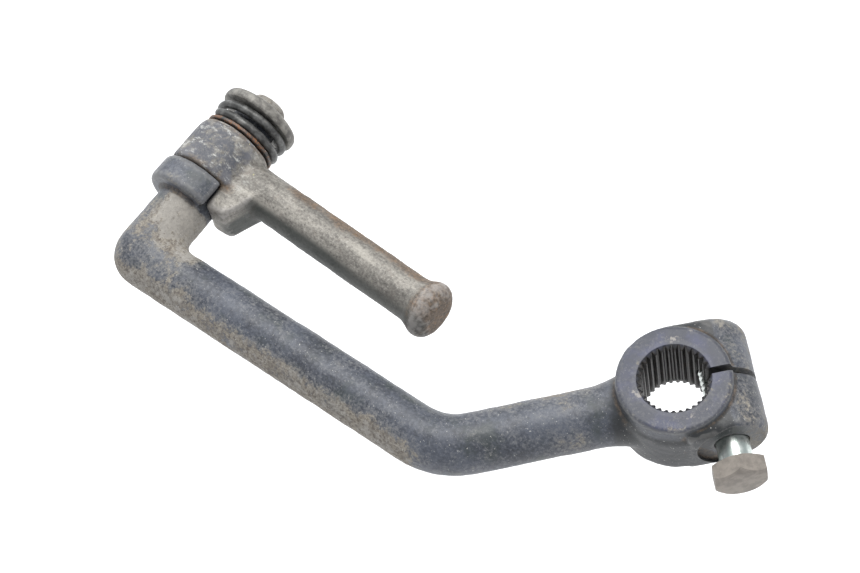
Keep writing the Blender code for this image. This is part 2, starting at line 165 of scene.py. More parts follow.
class Board:
    """One material's node tree."""

    def __init__(self, name):
        self.material = bpy.data.materials.new(name)
        self.material.use_nodes = True
        self.tree = self.material.node_tree
        self.surface = self.tree.nodes["Principled BSDF"]
        self.place = self.add("ShaderNodeTexCoord", out="Object")

    def add(self, kind, settings=None, sockets=None, out=0):
        """Any node: its settings go in first, and then the values or links of its sockets."""
        node = self.tree.nodes.new(kind)
        for key, value in (settings or {}).items():
            setattr(node, key, value)
        for key, value in (sockets or {}).items():
            self.feed(node, key, value)
        return Sum(self, node.outputs[out])

    def feed(self, node, key, value):
        found = [s for s in node.inputs if s.identifier == key] or [node.inputs[key]]
        if isinstance(value, Sum):
            self.tree.links.new(value.socket, found[0])
        else:
            found[0].default_value = value

    def noise(
        self, scale, detail=4.0, rough=0.55, distortion=0.0, shift=(0, 0, 0), stretch=(1, 1, 1), turn=0.0
    ):
        """Cloudy noise on the piece's own coordinates; scale is in lumps per metre."""
        where = self.place
        if any(shift) or stretch != (1, 1, 1) or turn:
            where = self.add(
                "ShaderNodeMapping", None,
                {"Vector": where, "Location": shift, "Rotation": (0, 0, turn), "Scale": stretch},
            )
        return self.add(
            "ShaderNodeTexNoise", None,
            {"Vector": where, "Scale": scale, "Detail": detail, "Roughness": rough, "Distortion": distortion},
        )

    def step(self, value, low, high):
        """0 below low, 1 above high, eased between."""
        return self.add(
            "ShaderNodeMapRange",
            {"interpolation_type": "SMOOTHSTEP"},
            {"Value": value, "From Min": low, "From Max": high},
        )

    def mix(self, factor, first, second):
        """The first colour where factor is 0, and the second where it is 1."""
        sides = {"Factor_Float": factor}
        for key, colour in (("A_Color", first), ("B_Color", second)):
            sides[key] = colour if isinstance(colour, Sum) else (*colour, 1.0)
        return self.add("ShaderNodeMix", {"data_type": "RGBA"}, sides, out=2)

    def attribute(self, name):
        return self.add("ShaderNodeAttribute", {"attribute_name": name}, out="Fac")

    def finish(self, colour, roughness, metallic, height, strength, depth):
        """Feeds the surface; height drives a bump that is depth metres deep."""
        self.feed(self.surface, "Base Color", colour if isinstance(colour, Sum) else (*colour, 1.0))
        self.feed(self.surface, "Roughness", roughness)
        self.feed(self.surface, "Metallic", metallic)
        bump = self.add("ShaderNodeBump", None, {"Strength": strength, "Distance": depth, "Height": height})
        self.feed(self.surface, "Normal", bump)
        return self.material


# ---------------------------------------------------------------- finishes
NAVY = (0.030, 0.033, 0.042)
SLATE = (0.082, 0.091, 0.114)
# Blue-violet of the painted sky reflection on the raised ring's top face.
SKY_REFLECTION_VIOLET = (0.030, 0.036, 0.086)
TEAL = (0.036, 0.045, 0.044)
BEIGE = (0.290, 0.262, 0.215)
ASH = (0.215, 0.210, 0.198)
UMBER = (0.115, 0.092, 0.074)
RUST = (0.23, 0.095, 0.035)
PALE = (0.54, 0.53, 0.49)
# Near-black of the serrated bore.
BORE_BLACK = (0.014, 0.0135, 0.013)
# Dark blue of the painted sky reflection on the raised ring's top face.
SKY_REFLECTION_DARK = (0.021, 0.025, 0.042)
# Near-black of the painted shade round the boss.
SHADE_BLACK = (0.0125, 0.0135, 0.0135)
SAND = (0.42, 0.375, 0.30)
EARTH = (0.085, 0.068, 0.054)
LOAM = (0.13, 0.112, 0.09)
CHALK = (0.34, 0.325, 0.30)
BUFF = (0.30, 0.275, 0.245)
# Dark and brown of the concave corners: partly dirt, partly painted shade.
CREVICE_DARK = (0.030, 0.026, 0.022)
CREVICE_BROWN = (0.155, 0.108, 0.068)
# Dark brown of the serrated bore.
BORE_BROWN = (0.050, 0.042, 0.035)
RUBBED = (0.42, 0.40, 0.38)


def worn_paint(name):
    """Dark blue-grey paint on a forging, gone in patches down to a dull, speckled skin."""
    b = Board(name)
    zone, edge, bore, ring = (b.attribute(k) for k in ("zone", "edge", "bore", "ring"))
    broad, patch = b.noise(75, 4), b.noise(260, 9, 0.70, distortion=0.3)
    fine, grain = b.noise(1300, 6, 0.72), b.noise(4200, 3, 0.6)
    drift = b.noise(120, 7, 0.62, shift=(0.3, 0.1, 0.7))

    paint = b.mix(b.step(broad * 0.45 + fine * 0.55, 0.38, 0.62), NAVY, SLATE)
    # Painted reflection: the raised ring's top face is tinted blue-violet, as if it reflected the sky.
    painted_sky_reflection = b.mix(b.step(b.noise(150, 6, 0.6, shift=(0.6, 0.3, 0.1)), 0.40, 0.64), SKY_REFLECTION_DARK, SKY_REFLECTION_VIOLET)
    paint = b.mix(ring * 0.85, paint, painted_sky_reflection)
    paint = b.mix(b.step(drift, 0.50, 0.68) * 0.65 * (1 - ring), paint, TEAL)
    # Painted shade: where the zone is below 0, round the boss, the paint is darkened nearly to black.
    painted_wall_shade = b.step(0 - zone, 0.02, 0.35)
    paint = b.mix(painted_wall_shade * 0.85 * (1 - ring * 0.8), paint, SHADE_BLACK)
    film = b.step(patch * 0.40 + fine * 0.60 + zone * 0.24, 0.49, 0.66)
    paint = b.mix(film * 0.48, paint, ASH)

    skin = b.mix(b.step(patch * 0.4 + fine * 0.6, 0.36, 0.60), UMBER, BEIGE)
    skin = b.mix(b.step(drift, 0.42, 0.60) * 0.4, skin, ASH)
    skin = b.mix(b.step(zone + fine * 0.4, 1.05, 1.35) * 0.30, skin, SAND)
    skin = b.mix(b.step(grain * 0.5 + fine * 0.5, 0.55, 0.66) * 0.5, skin, PALE)
    skin = b.mix(b.step(0.62 - fine, 0.12, 0.20) * 0.6, skin, EARTH)
    pits = b.step(b.noise(520, 7, 0.75, shift=(0.4, 0.6, 0.3)), 0.50, 0.58)
    skin = b.mix(pits * 0.45, skin, LOAM)
    bare = b.step(patch * 0.60 + fine * 0.40 + zone * 0.36 + edge * 0.10, 0.655, 0.755)
    colour = b.mix(bare * 0.85, paint, skin)

    flakes = b.noise(430, 9, 0.82, shift=(0.7, 0.2, 0.4))
    flake = b.step(flakes * 0.78 + zone * 0.16 + drift * 0.12, 0.575, 0.62)
    colour = b.mix(flake * 0.6 * (1 - ring * 0.6), colour, CHALK)
    speck = b.step(b.noise(1900, 3, 0.6, shift=(0.5, 0.2, 0.9)), 0.655, 0.71) * (1 - ring * 0.7)
    colour = b.mix(speck * 0.6, colour, PALE)
    scars = b.noise(210, 8, 0.72, shift=(0.35, 0.8, 0.6))
    scar = b.step(scars + ring * 0.02 - broad * 0.12, 0.565, 0.62) * ring
    colour = b.mix(scar * 0.7, colour, BUFF)
    rub = b.step(edge * 0.8 + patch * 0.9, 0.80, 1.15) * (1 - ring * 0.75)
    colour = b.mix(rub * 0.32, colour, ASH)
    # Concave corners and creases darkened to brown: partly dirt, partly painted shade.
    crevice_dirt_and_shade = b.step(0 - edge, 0.30, 0.95)
    dirt_and_shade_colour = b.mix(b.step(patch * 0.5 + fine * 0.5, 0.44, 0.60), CREVICE_DARK, CREVICE_BROWN)
    colour = b.mix(crevice_dirt_and_shade * 0.65, colour, dirt_and_shade_colour)
    # The serrated bore is coloured near-black to dark brown.
    inside = b.mix(b.step(fine, 0.42, 0.66), BORE_BLACK, BORE_BROWN)
    colour = b.mix(bore, colour, inside)
    roughness = 0.36 + broad * 0.14 + bare * 0.32 + film * 0.12 + crevice_dirt_and_shade * 0.15
    height = (1 - bare) * 0.5 + fine * 0.5 + grain * 0.25 + patch * 0.35
    return b.finish(colour, roughness, bare * 0.15 + bore * 0.4, height, 0.65, 0.00015)


def worn_pedal(name):
    """Bare forged steel: mottled grey and beige, rust on the far side and the tip, old paint on the hub."""
    b = Board(name)
    painted, rusty, dark, edge = (b.attribute(k) for k in ("painted", "rusty", "dark", "edge"))
    broad, patch = b.noise(95, 5), b.noise(340, 8, 0.70, distortion=0.3)
    fine, grain = b.noise(1500, 6, 0.72), b.noise(4600, 3, 0.6)
    streak = b.noise(300, 7, 0.68, stretch=(0.3, 1.5, 1.2), shift=(0.2, 0.4, 0.1))

    dull_steel, light_steel = (0.125, 0.118, 0.106), (0.320, 0.302, 0.268)
    glint, pitted, brown_film = (0.43, 0.42, 0.40), (0.065, 0.054, 0.048), (0.165, 0.130, 0.105)
    steel = b.mix(b.step(streak * 0.5 + fine * 0.5, 0.38, 0.64), dull_steel, light_steel)
    steel = b.mix(b.step(fine * 0.6 + grain * 0.4, 0.54, 0.68) * 0.55, steel, glint)
    steel = b.mix(b.step(0.60 - fine, 0.17, 0.28) * 0.65, steel, pitted)
    steel = b.mix(b.step(patch, 0.54, 0.70) * 0.35, steel, brown_film)

    old_rust, brown_rust, orange_rust = (0.052, 0.036, 0.025), (0.165, 0.110, 0.068), (0.30, 0.145, 0.040)
    rust_here = b.step(rusty * 0.70 + patch * 0.40 + fine * 0.25, 0.56, 0.92)
    rust = b.mix(b.step(fine, 0.38, 0.66), old_rust, brown_rust)
    rust = b.mix(b.step(patch * 0.6 + grain * 0.4, 0.53, 0.62) * 0.65, rust, orange_rust)
    steel = b.mix(rust_here * 0.85, steel, rust)
    # Painted shade: the tread's near side and the part under the lug are darkened to a dark teal-grey.
    shade = b.step(dark * 0.6 + streak * 0.25 + fine * 0.2, 0.34, 0.72)
    painted_shade_tone = (0.044, 0.050, 0.047)
    steel = b.mix(shade * 0.85, steel, painted_shade_tone)

    faded_navy, faded_slate, thin_paint = (0.060, 0.064, 0.078), (0.130, 0.133, 0.150), (0.20, 0.19, 0.18)
    paint = b.mix(b.step(broad, 0.40, 0.62), faded_navy, faded_slate)
    paint = b.mix(b.step(patch * 0.4 + fine * 0.6, 0.48, 0.66) * 0.5, paint, thin_paint)
    kept = b.step(painted * 0.50 + patch * 0.62 + fine * 0.12, 0.78, 0.90)
    colour = b.mix(kept, steel, paint)

    scratched, yellow_fleck, packed_dirt_and_shade = (0.50, 0.50, 0.47), (0.62, 0.58, 0.30), (0.040, 0.030, 0.024)
    scratches = b.noise(240, 10, 0.84, stretch=(1.0, 2.2, 1.0), turn=0.6)
    scratch = b.step(scratches, 0.530, 0.60) * painted
    colour = b.mix(scratch * 0.75, colour, scratched)
    fleck = b.step(b.noise(700, 2, 0.5, shift=(0.15, 0.4, 0.8)), 0.73, 0.745) * painted
    colour = b.mix(fleck, colour, yellow_fleck)
    shine = b.step(edge + fine * 0.4, 0.60, 1.10) * (1 - painted * 0.8)
    colour = b.mix(shine * 0.45, colour, RUBBED)
    # Concave corners darkened: partly packed dirt, partly painted shade.
    crevice_dirt_and_shade = b.step(0 - edge, 0.30, 0.95)
    colour = b.mix(crevice_dirt_and_shade * 0.6, colour, packed_dirt_and_shade)
    roughness = 0.46 + fine * 0.20 + rust_here * 0.2 - shine * 0.1
    metal = (1 - kept) * (1 - rust_here) * 0.45
    height = fine * 0.6 + patch * 0.5 + grain * 0.3 + kept * 0.3
    return b.finish(colour, roughness, metal, height, 0.7, 0.00016)


def dark_spring(name, rust):
    """Blackened spring steel, rubbed grey in patches."""
    b = Board(name)
    patch, fine = b.noise(420, 6, 0.65), b.noise(2200, 4, 0.7)
    black, grey, rubbed = (0.050, 0.050, 0.048), (0.145, 0.145, 0.14), (0.26, 0.25, 0.235)
    colour = b.mix(b.step(patch, 0.42, 0.66), black, grey)
    colour = b.mix(b.step(fine, 0.60, 0.78) * 0.5, colour, rubbed)
    brown = b.step(patch * 0.6 + fine * 0.4, 0.62 - rust * 0.4, 0.78 - rust * 0.4)
    colour = b.mix(brown * min(1.0, rust * 3), colour, RUST)
    roughness = 0.36 + fine * 0.2 + brown * 0.3
    return b.finish(colour, roughness, 0.55 - brown * 0.45, fine * 0.6 + patch * 0.4, 0.5, 0.0001)


def dull_cap(name):
    """A turned steel cap, warm grey under a film of oxide."""
    b = Board(name)
    patch, fine = b.noise(380, 7, 0.68, distortion=0.2), b.noise(1900, 5, 0.7)
    oxide, steel, bright = (0.095, 0.090, 0.082), (0.25, 0.24, 0.215), (0.40, 0.38, 0.35)
    rust = (0.16, 0.085, 0.045)
    colour = b.mix(b.step(patch, 0.38, 0.64), oxide, steel)
    colour = b.mix(b.step(fine, 0.56, 0.74) * 0.6, colour, bright)
    colour = b.mix(b.step(patch * 0.5 + fine * 0.5, 0.60, 0.72) * 0.4, colour, rust)
    return b.finish(colour, 0.46 + fine * 0.2, 0.35, fine * 0.5 + patch * 0.5, 0.5, 0.0001)


def bolt_plate(name):
    """Zinc plate: bright on the shank, dulled to a warm grey-brown on the head."""
    b = Board(name)
    head, edge = b.attribute("head"), b.attribute("edge")
    patch, fine = b.noise(450, 7, 0.65), b.noise(2300, 5, 0.7)
    green_zinc, clean_zinc, stained_zinc = (0.47, 0.53, 0.50), (0.72, 0.755, 0.725), (0.30, 0.30, 0.25)
    bright = b.mix(b.step(patch, 0.40, 0.62), green_zinc, clean_zinc)
    bright = b.mix(b.step(fine, 0.60, 0.76) * 0.45, bright, stained_zinc)
    brown, tan = (0.108, 0.090, 0.072), (0.205, 0.178, 0.148)
    dusty, rusty = (0.33, 0.295, 0.255), (0.12, 0.075, 0.05)
    dull = b.mix(b.step(patch, 0.38, 0.62), brown, tan)
    dull = b.mix(b.step(fine, 0.55, 0.75) * 0.55, dull, dusty)
    dull = b.mix(b.step(patch * 0.6 + fine * 0.4, 0.58, 0.70) * 0.35, dull, rusty)
    colour = b.mix(head, bright, dull)
    bare_edge, packed_dirt_and_shade = (0.45, 0.42, 0.385), (0.05, 0.042, 0.035)
    colour = b.mix(b.step(edge, 0.25, 0.9) * head * 0.3, colour, bare_edge)
    # Concave corners darkened: partly packed dirt, partly painted shade.
    colour = b.mix(b.step(0 - edge, 0.2, 0.8) * 0.6, colour, packed_dirt_and_shade)
    roughness = 0.24 + head * 0.34 + fine * 0.12
    return b.finish(colour, roughness, 0.95 - head * 0.55, fine * 0.5 + patch * 0.5, 0.4, 0.00009)


def studio_floor(name):
    """Plain pale paper."""
    b = Board(name)
    patch = b.noise(4, 3)
    colour = b.mix(patch, (0.86, 0.865, 0.875), (0.89, 0.89, 0.89))
    b.feed(b.surface, "Emission Color", (1.0, 1.0, 1.0, 1.0))
    b.feed(b.surface, "Emission Strength", 0.22)
    return b.finish(colour, 0.6 + patch * 0.05, 0.0, patch, 0.02, 0.0001)


# ---------------------------------------------------------------- shapes
def circle(radius, height, steps=72, flat=None):
    """A ring of points about Z; flat cuts it off square at plus and minus that far in X."""
    points = []
    for i in range(steps):
        angle = 2 * math.pi * i / steps
        x = radius * math.cos(angle)
        points.append(Vector((max(-flat, min(flat, x)) if flat else x, radius * math.sin(angle), height)))
    return points


def loft(rings, closed=False):
    """A closed skin over rings of equally many points."""
    bm = bmesh.new()
    loops = [[bm.verts.new(p) for p in ring] for ring in rings]
    pairs = list(zip(loops, loops[1:])) + ([(loops[-1], loops[0])] if closed else [])
    for low, high in pairs:
        for i in range(len(low)):
            j = (i + 1) % len(low)
            bm.faces.new((low[i], low[j], high[j], high[i]))
    if not closed:
        bm.faces.new(loops[0])
        bm.faces.new(loops[-1])
    bmesh.ops.recalc_face_normals(bm, faces=bm.faces)
    return bm


def turned(profile, steps=72, closed=False):
    """A profile of (radius, height) points, turned about Z."""
    return loft([circle(r, z, steps) for r, z in profile], closed)


def prism(outline, low, high):
    """An outline in X and Y, drawn out from low to high."""
    return loft([[Vector((x, y, z)) for x, y in outline] for z in (low, high)])


def arc(centre, radius, start, end, steps):
    angles = [start + (end - start) * i / steps for i in range(steps + 1)]
    return [(centre[0] + radius * math.cos(a), centre[1] + radius * math.sin(a)) for a in angles]


def bevelled(bm, width, segments=4, picks=lambda e: True):
    """Rounds the sharp edges that picks lets through."""
    sharp = [e for e in bm.edges if e.calc_face_angle(0) > math.radians(35) and picks(e)]
    bmesh.ops.bevel(bm, geom=sharp, offset=width, segments=segments, profile=0.5, affect="EDGES")
    bmesh.ops.recalc_face_normals(bm, faces=bm.faces)
    return bm


def moved(bm, matrix):
    bmesh.ops.transform(bm, matrix=matrix, verts=bm.verts)
    return bm


def in_metres(matrix):
    """The same placing for a mesh that is in metres already."""
    scaled = matrix.copy()
    scaled.translation *= MM
    return scaled


def as_object(name, shells):
    """Joins shells, which are in millimetres, into one object in metres."""
    bm = bmesh.new()
    for shell in shells:
        part = bpy.data.meshes.new("shell")
        shell.to_mesh(part)
        shell.free()
        bm.from_mesh(part)
        bpy.data.meshes.remove(part)
    bmesh.ops.scale(bm, vec=(MM, MM, MM), verts=bm.verts)
    mesh = bpy.data.meshes.new(name)
    bm.to_mesh(mesh)
    bm.free()
    obj = bpy.data.objects.new(name, mesh)
    bpy.context.scene.collection.objects.link(obj)
    return obj


def settle(obj):
    """Makes the object's modifiers part of its mesh."""
    bpy.context.view_layer.update()
    graph = bpy.context.evaluated_depsgraph_get()
    mesh = bpy.data.meshes.new_from_object(obj.evaluated_get(graph))
    mesh.name = obj.name
    obj.modifiers.clear()
    old, obj.data = obj.data, mesh
    bpy.data.meshes.remove(old)
    return obj


def cut(obj, cutters):
    """Takes each closed cutter out of the object."""
    for i, shell in enumerate(cutters):
        tool = as_object(f"cutter_{i}", [shell])
        step = obj.modifiers.new("cut", "BOOLEAN")
        step.operation, step.solver, step.object = "DIFFERENCE", "MANIFOLD", tool
        settle(obj)
        bpy.data.objects.remove(tool)
    return obj


def per_vertex(source, key, vertices):
    """One vector for each vertex, as an array of rows."""
    flat = np.empty(vertices * 3, dtype=np.float32)
    source.foreach_get(key, flat)
    return flat.reshape(-1, 3).astype(float)


def coordinates(mesh):
    return per_vertex(mesh.vertices, "co", len(mesh.vertices))


def normals_of(mesh):
    return per_vertex(mesh.vertex_normals, "vector", len(mesh.vertices))


def reshape(obj, points):
    obj.data.vertices.foreach_set("co", points.astype(np.float32).ravel())
    obj.data.update()
    return obj


def edges_of(mesh):
    """Each edge's two vertices, and the number of edges at each vertex."""
    flat = np.empty(len(mesh.edges) * 2, dtype=np.int32)
    mesh.edges.foreach_get("vertices", flat)
    edges = flat.reshape(-1, 2)
    counts = np.bincount(edges.ravel(), minlength=len(mesh.vertices)).astype(float)
    return edges, np.maximum(counts, 1)


def neighbours_mean(points, edges, counts):
    total = np.empty_like(points)
    for k in range(3):
        column = points[:, k]
        total[:, k] = np.bincount(edges[:, 0], column[edges[:, 1]], len(points))
        total[:, k] += np.bincount(edges[:, 1], column[edges[:, 0]], len(points))
    return total / counts[:, None]


def relax(obj, rounds, weight):
    """Evens the surface out, which rounds its edges and fills its corners."""
    points = coordinates(obj.data)
    edges, counts = edges_of(obj.data)
    share = 0.5 * weight(points / MM)[:, None]
    for _ in range(rounds):
        points += (neighbours_mean(points, edges, counts) - points) * share
    return reshape(obj, points)


def fractal(points, scale, octaves=4):
    """Smooth noise from -1 to 1 at points, in millimetres; scale is the size of its largest lumps."""
    return np.array([noise.fractal(Vector(p / scale), 0.6, 2.0, octaves) for p in points])


def roughen(obj, depth, lumps):
    """The hammered skin of a forging, a few hundredths of a millimetre deep, inside the CAD's box."""
    points = coordinates(obj.data)
    lift = fractal(points / MM, lumps) * depth * MM
    points = points + normals_of(obj.data) * lift[:, None]
    return reshape(obj, np.clip(points, np.array(cad_box[0]), np.array(cad_box[1])))


def remeshed(obj, voxel):
    """Fuses the object's shells into one skin of small squares."""
    step = obj.modifiers.new("voxels", "REMESH")
    step.mode, step.voxel_size, step.adaptivity = "VOXEL", voxel * MM, 0.0
    return settle(obj)


def note(obj, name, values):
    """Stores one number for each vertex, for the finish to read."""
    layer = obj.data.attributes.new(name, "FLOAT", "POINT")
    layer.data.foreach_set("value", np.asarray(values, dtype=np.float32))


def note_edges(obj, rounds, scale):
    """Notes how far each vertex stands out of its surroundings, from -1 in a corner to 1 on an edge."""
    points = coordinates(obj.data)
    edges, counts = edges_of(obj.data)
    evened = points.copy()
    for _ in range(rounds):
        evened = neighbours_mean(evened, edges, counts)
    out = np.einsum("ij,ij->i", points - evened, normals_of(obj.data)) / MM
    note(obj, "edge", np.clip(out / scale, -1, 1))


def ease(value, low, high):
    """0 below low, 1 above high, eased between."""
    t = np.clip((value - low) / (high - low), 0, 1)
    return t * t * (3 - 2 * t)


def complete(obj, finish, body, node):
    """Gives the piece its finish, hangs it on its body's empty and hides the CAD part it stands in for."""
    obj.data.materials.clear()
    obj.data.materials.append(finish)
    obj.data.shade_smooth()
    obj.data.set_sharp_from_angle(angle=math.radians(38))
    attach(obj, body)
    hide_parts(node)
    return obj


# ---------------------------------------------------------------- lever arm
def bar_ring(centre, across, half_width, half_height=BAR, steps=64):
    """An oval section of the bar, which always rests on the same level."""
    return [
        centre + across * (half_width * math.cos(a)) + Vector((0, 0, half_height * (1 + math.sin(a)) - BAR))
        for a in (2 * math.pi * i / steps for i in range(steps))
    ]


def elbow_reach(angle):
    """How far the elbow's outer side lies from the middle of its bend: square, with a rounded nose."""
    side = ELBOW_INNER + 2 * BAR
    nose = side - ELBOW_OUTER
    to_flat = side / max(math.cos(angle), math.sin(angle))
    along = nose * (math.cos(angle) + math.sin(angle))
    to_nose = along + math.sqrt(max(0, along**2 - 2 * nose**2 + ELBOW_OUTER**2))
    return to_nose if min(math.cos(angle), math.sin(angle)) * to_flat > nose else to_flat


def bar_shell():
    """The bar from the boss, round its bend and its elbow, to the end of the neck."""
    rings = []
    lift = Vector((0, 0, LEVEL))
    side = Vector((-ALONG.y, ALONG.x, 0))
    reach = BOSS_RING + ROOT_FILLET
    fillet_out = math.sqrt(reach**2 - (BAR + ROOT_FILLET) ** 2)
    root = BOSS_RING * fillet_out / reach
    for i in range(21):
        out = root + (fillet_out - root) * i / 20
        width = BAR + ROOT_FILLET - math.sqrt(ROOT_FILLET**2 - (fillet_out - out) ** 2)
        height = BAR + (ROOT_HEIGHT / 2 - BAR) * (1 - i / 20) ** 2
        rings.append(bar_ring(lift - out * ALONG, side, width, height))
    centre = BEND + BEND_RADIUS * math.tan(SHANK_ANGLE / 2) * ALONG + BEND_RADIUS * side
    for i in range(21):
        heading = SHANK_ANGLE * (1 - i / 20)
        across = Vector((-math.sin(heading), math.cos(heading), 0))
        rings.append(bar_ring(lift + centre - BEND_RADIUS * across, across, BAR))
    inset = BAR + ELBOW_INNER
    corner = Vector((PIVOT_X + inset, STRAIGHT_Y + inset, LEVEL))
    for i in range(25):
        turn = math.radians(90) * i / 24
        outward = Vector((-math.sin(turn), -math.cos(turn), 0))
        outer = elbow_reach(turn)
        middle, half = (outer + ELBOW_INNER) / 2, (outer - ELBOW_INNER) / 2
        rings.append(bar_ring(corner + outward * middle, -outward, half))
    rings.append(bar_ring(Vector((PIVOT_X, NECK_TOP, LEVEL)), Vector((1, 0, 0)), BAR))
    return loft(rings)


def boss_shells():
    """The boss's body and the raised ring on it."""
    foot = [(13.2, 0), (BOSS_BODY, 0.8)]
    body = turned(foot + [(BOSS_BODY, BOSS_STEP - 0.6), (BOSS_BODY - 0.6, BOSS_STEP)], 128)
    ring = turned([(BOSS_RING, 2), (BOSS_RING, BOSS_TOP - 0.5), (BOSS_RING - 0.5, BOSS_TOP)], 128)
    return [body, ring]


def ear_shell(corner=3.2):
    """A D-shaped block along the bolt, its ends rounded over."""
    rings = []
    stations = []
    for a in np.linspace(0, math.pi / 2, 7):
        stations.append((-EAR_END + corner * (1 - math.cos(a)), corner * (1 - math.sin(a))))
    stations += [(-z, inset) for z, inset in reversed(stations)]
    for z, inset in stations:
        r = EAR - inset * 0.55
        outline = [(x - inset * 0.6, y) for x, y in arc((0, 0), r, math.radians(-90), math.radians(90), 24)]
        outline += [(-BOLT_OUT, r), (-BOLT_OUT, -r)]
        rings.append([Vector((x, y, z)) for x, y in outline])
    return moved(loft(rings), BOLT_FRAME)


def collar_shell():
    """The half ring round the neck that stops the pedal's lug."""
    start, sweep = math.radians(44.5), math.radians(177.5)
    outline = arc((0, 0), COLLAR_RADIUS, -start, -start - sweep, 40)
    outline += arc((0, 0), 5.0, -start - sweep, -start, 40)
    bm = prism(outline, NECK_TOP - 7.4, NECK_TOP)
    outside = lambda e: all(v.co.xy.length > BAR + 1 for v in e.verts)
    return moved(bevelled(bm, 1.1, 4, outside), PIVOT_FRAME)


def journal_shell():
    """The pin through the stack: journal, tenon with two flats, and peened end."""
    head = CAP_TOP + CLEARANCE
    rings = [circle(JOURNAL, NECK_TOP - 6), circle(JOURNAL, CAP_FOOT - 0.7), circle(5.6, CAP_FOOT - 0.3)]
    rings += [circle(3.5, CAP_FOOT - 0.3, flat=2.6), circle(3.5, head, flat=2.6)]
    peened = [(4.3, 0), (4.6, 0.3), (4.6, 2.3), (4.2, 2.8), (3.2, 3.2)]
    rings += [circle(radius, head + rise) for radius, rise in peened]
    return moved(loft(rings), PIVOT_FRAME)


def serration():
    """The toothed shape that the bore is cut with."""
    outline = []
    pitch = 2 * math.pi / TEETH
    for tooth in range(TEETH):
        for radius, offset in ((TOOTH_TIP, 0.0), (TOOTH_ROOT, 0.5)):
            for side in (-0.11, 0.11):
                angle = (tooth + offset + side) * pitch
                outline.append((radius * math.cos(angle), radius * math.sin(angle)))
    return prism(outline, -2, BOSS_TOP + 2)


def boss_cutters():
    """The serrated bore with its chamfers, the slot, the bolt's hole and its seat."""
    wide, narrow = TOOTH_ROOT + 1.25, TOOTH_ROOT - 1.75
    top = turned([(narrow, BOSS_TOP - 2), (wide, BOSS_TOP + 1)], 96)
    foot = turned([(wide, -1), (narrow, 2)], 96)
    far = BOLT_OUT + 10
    half = SLOT_HALF
    slot = prism([(0, -half), (far, -half), (far, half), (0, half)], -3, BOSS_TOP + 3)
    hole_radius = BOLT_RADIUS + CLEARANCE
    hole = turned([(hole_radius, -20), (hole_radius, 20)], 48)
    seat = turned([(SEAT_RADIUS, BOLT_SEAT), (SEAT_RADIUS, 22)], 72)
    return [
        serration(), top, foot, moved(slot, Matrix.Rotation(SHANK_ANGLE, 4, "Z")),
        moved(hole, BOLT_FRAME), moved(seat, BOLT_FRAME),
    ]


def arm_zone(points):
    """How much of the paint has gone, by place: 0 is sound, 1 is bare, and less than 0, round the boss, is
    worn less and darkened as painted shade.
    """
    x, y, z = points.T
    near_pivot = 1 - ease(np.abs(x - PIVOT_X), 12, 18)
    neck = near_pivot * ease(y, -37, -31) * (1 - ease(y, NECK_TOP - 9, NECK_TOP - 6.8))
    neck = neck * ease(x - PIVOT_X, -5, 0.5)
    inner = near_pivot * ease(x - PIVOT_X, -1, 5) * ease(y, -41, -36) * (1 - ease(y, -30, -26))
    end = near_pivot * ease(y, CAP_FOOT, CAP_TOP)
    elbow = near_pivot * (1 - ease(y, -30, -25)) * 0.40

    on_straight = (1 - ease(x, BEND.x - 8, BEND.x + 4)) * (1 - ease(y, -36, -34))
    low_side = on_straight * (1 - ease(y, STRAIGHT_Y - 6.5, STRAIGHT_Y - 2.0)) * ease(z, 1.0, 6.0)
    tip_side = on_straight * (1 - ease(x, -112, -98))
    tip_side = tip_side * (1 - ease(y, STRAIGHT_Y - 5, STRAIGHT_Y + 1))

    out = -(x * ALONG.x + y * ALONG.y)
    off = -x * ALONG.y + y * ALONG.x
    on_shank = ease(out, 12, 18) * (1 - ease(out, 44, 52)) * (1 - ease(np.abs(off), 14, 18))
    root = on_shank * (1 - ease(out, 22, 36)) * 0.35 + on_shank * ease(off, 1, 6) * 0.35
    radius = np.hypot(x, y)
    boss_wall = (1 - ease(radius, 16, 20)) * (1 - ease(z, 13.2, 14.6)) * 0.10
    ears = ease(-out, 10, 13) * 0.70 * ease(radius, 13.4, 14.2)

    zones = (elbow, neck * 1.35, inner, end, low_side * 0.75, tip_side * 0.45, root, boss_wall, ears)
    # Round the boss, except on its raised ring, the zone is lowered: less wear there, and painted shade.
    raised = ease(z, BOSS_STEP - 0.5, BOSS_STEP + 1) * (1 - ease(radius, 13, 14))
    sheltered_and_painted_shade = (1 - ease(radius, 19, 27)) * (1 - raised)
    return np.clip(np.maximum.reduce(zones) - 0.42 * sheltered_and_painted_shade, -0.5, 1.4)


def make_arm(finish):
    shells = [bar_shell(), *boss_shells(), ear_shell(), collar_shell(), journal_shell()]
    arm = remeshed(as_object("forged_arm", shells), 0.42)

    def away_from_edges(points):
        radius = np.hypot(points[:, 0], points[:, 1])
        ring = (radius < 15) & (points[:, 2] > BOSS_STEP + 1)
        stack = (points[:, 0] < PIVOT_X + 12) & (points[:, 1] > NECK_TOP - 8)
        return np.where(ring | stack, 0.35, 1.0)

    relax(arm, 14, away_from_edges)
    roughen(arm, 0.10, 6.0)
    cut(arm, boss_cutters())
    points = coordinates(arm.data) / MM
    note(arm, "zone", arm_zone(points) + fractal(points, 14, 3) * 0.12)
    radius = np.hypot(points[:, 0], points[:, 1])
    note(arm, "bore", 1 - ease(radius, TOOTH_ROOT + 0.02, TOOTH_ROOT + 0.3))
    on_top = ease(points[:, 2], BOSS_TOP - 1, BOSS_TOP - 0.2)
    # The raised ring's top face, where the finish paints a sky reflection and changes its wear marks.
    note(arm, "ring", (1 - ease(radius, BOSS_RING - 0.8, BOSS_RING + 0.2)) * on_top)
    note_edges(arm, 10, 0.14)
    return complete(arm, finish, "lever", "lever_arm")


